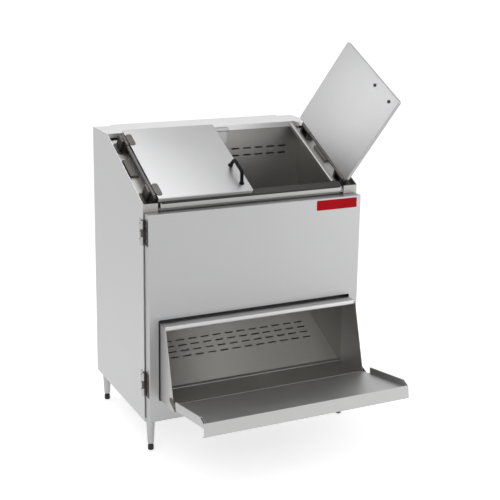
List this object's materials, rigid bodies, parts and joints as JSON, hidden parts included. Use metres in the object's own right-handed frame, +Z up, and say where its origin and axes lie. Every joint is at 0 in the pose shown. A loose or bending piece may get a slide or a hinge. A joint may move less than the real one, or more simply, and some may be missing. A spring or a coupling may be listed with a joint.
{
  "type": "food chip warmer",
  "caption": "Free-standing first-in-first-out warmer for tortilla chips: sloping top with two side-hinged lids, hinged door with a mouth, and a tip-down serving tray.",
  "frame": {"origin": "on the floor, under the middle of the cabinet", "axes": "+X to the right as seen from the front, +Y to the back, +Z up; the front plane of the cabinet is at y = -0.275 m"},
  "size_m": [0.9961, 1.0408, 1.4665],
  "materials": {
    "brushed_stainless": "brushed stainless sheet, fine straight grain",
    "polished_stainless": "bright-rolled stainless sheet",
    "hinge_steel": "dull zinc-plated steel",
    "handle_black": "black moulded plastic",
    "dark_fasteners": "black-oxide screws",
    "black_rubber": "black rubber",
    "white_silicone": "pale grey silicone",
    "foot_black": "black-coated steel",
    "galvanised": "galvanised sheet",
    "motor_grey": "grey enamel",
    "heater_sheath": "heat-tinted metal sheath",
    "control_plastic": "black plastic"
  },
  "bodies": {
    "cabinet": {"base_pan": "brushed_stainless", "blower_housing": "galvanised", "blower_motor": "motor_grey", "cable_gland": "control_plastic", "centre_lid_rest": "galvanised", "channel_bumpers": "black_rubber", "chute_floor": "brushed_stainless", "door_hinge_fixed_leaves": "hinge_steel", "door_hinge_pins": "hinge_steel", "front_top_rail": "brushed_stainless", "heater_brackets": "galvanised", "heater_element": "heater_sheath", "hopper_back_liner": "brushed_stainless", "hopper_side_liners": "brushed_stainless", "latch_base": "hinge_steel", "left_hinge_channel": "brushed_stainless", "left_side_panel": "brushed_stainless", "legs": "brushed_stainless", "lid_hinge_bases": "hinge_steel", "lid_hinge_rods": "hinge_steel", "lower_front_rail": "brushed_stainless", "rear_panel": "brushed_stainless", "rear_service_cover": "brushed_stainless", "right_hinge_channel": "brushed_stainless", "right_side_panel": "brushed_stainless", "service_cover_screws": "hinge_steel", "switch_housing": "control_plastic", "thermostat": "control_plastic", "top_cap": "brushed_stainless"},
    "front_door": {"door_skin": "brushed_stainless", "door_liner": "brushed_stainless", "door_gasket": "white_silicone", "mouth_cheeks": "brushed_stainless", "mouth_header": "polished_stainless", "mouth_sill": "brushed_stainless", "door_hinge_moving_leaves": "hinge_steel", "latch_keeper": "hinge_steel", "tray_pivot_brackets": "hinge_steel"},
    "tray": {"tray_pan": "polished_stainless", "tray_hinge_rod": "hinge_steel", "tray_stiffener": "brushed_stainless"},
    "left_lid": {"left_lid_handle": "handle_black", "left_lid_handle_screws": "dark_fasteners", "left_lid_hinge_leaves": "hinge_steel", "left_lid_liner": "brushed_stainless", "left_lid_skin": "brushed_stainless"},
    "right_lid": {"right_lid_handle": "handle_black", "right_lid_handle_screws": "dark_fasteners", "right_lid_hinge_leaves": "hinge_steel", "right_lid_liner": "brushed_stainless", "right_lid_skin": "brushed_stainless"},
    "latch": {"latch_arm": "hinge_steel"},
    "blower_wheel": {"blower_wheel": "galvanised"},
    "rocker": {"switch_rocker": "control_plastic"},
    "knob": {"thermostat_knob": "control_plastic"},
    "front_left_foot": {"front_left_foot": "foot_black"},
    "front_right_foot": {"front_right_foot": "foot_black"},
    "rear_left_foot": {"rear_left_foot": "foot_black"},
    "rear_right_foot": {"rear_right_foot": "foot_black"}
  },
  "joints": [
    {"name": "door_hinge", "type": "hinge", "parent": "cabinet", "child": "front_door", "pos_m": [-0.4395, -0.2795, 0.56], "axis": [0, 0, -1], "range_deg": [0, 120]},
    {"name": "tray_pivot", "type": "hinge", "parent": "front_door", "child": "tray", "pos_m": [0, -0.46689, 0.24635], "axis": [-1, 0, 0], "range_deg": [0, 97]},
    {"name": "left_lid_hinge", "type": "hinge", "parent": "cabinet", "child": "left_lid", "pos_m": [-0.3865, -0.27941, 0.95598], "axis": [0, -0.8977, -0.4406], "range_deg": [0, 109]},
    {"name": "right_lid_hinge", "type": "hinge", "parent": "cabinet", "child": "right_lid", "pos_m": [0.3865, -0.27941, 0.95598], "axis": [0, 0.8977, 0.4406], "range_deg": [-109, 0]},
    {"name": "latch_pivot", "type": "hinge", "parent": "cabinet", "child": "latch", "pos_m": [0.4388, -0.249, 0.903], "axis": [-1, 0, 0], "range_deg": [0, 90]},
    {"name": "blower_spin", "type": "hinge", "parent": "cabinet", "child": "blower_wheel", "pos_m": [0, 0.196, 0.228], "axis": [1, 0, 0], "continuous": true},
    {"name": "switch_pivot", "type": "hinge", "parent": "cabinet", "child": "rocker", "pos_m": [-0.17, 0.27, 0.68], "axis": [-1, 0, 0], "range_deg": [0, 20]},
    {"name": "thermostat_turn", "type": "hinge", "parent": "cabinet", "child": "knob", "pos_m": [-0.25, 0.275, 0.68], "axis": [0, 1, 0], "range_deg": [0, 270]},
    {"name": "front_left_foot_screw", "type": "slide", "parent": "cabinet", "child": "front_left_foot", "axis": [0, 0, -1], "range_m": [0, 0.025]},
    {"name": "front_right_foot_screw", "type": "slide", "parent": "cabinet", "child": "front_right_foot", "axis": [0, 0, -1], "range_m": [0, 0.025]},
    {"name": "rear_left_foot_screw", "type": "slide", "parent": "cabinet", "child": "rear_left_foot", "axis": [0, 0, -1], "range_m": [0, 0.025]},
    {"name": "rear_right_foot_screw", "type": "slide", "parent": "cabinet", "child": "rear_right_foot", "axis": [0, 0, -1], "range_m": [0, 0.025]}
  ]
}
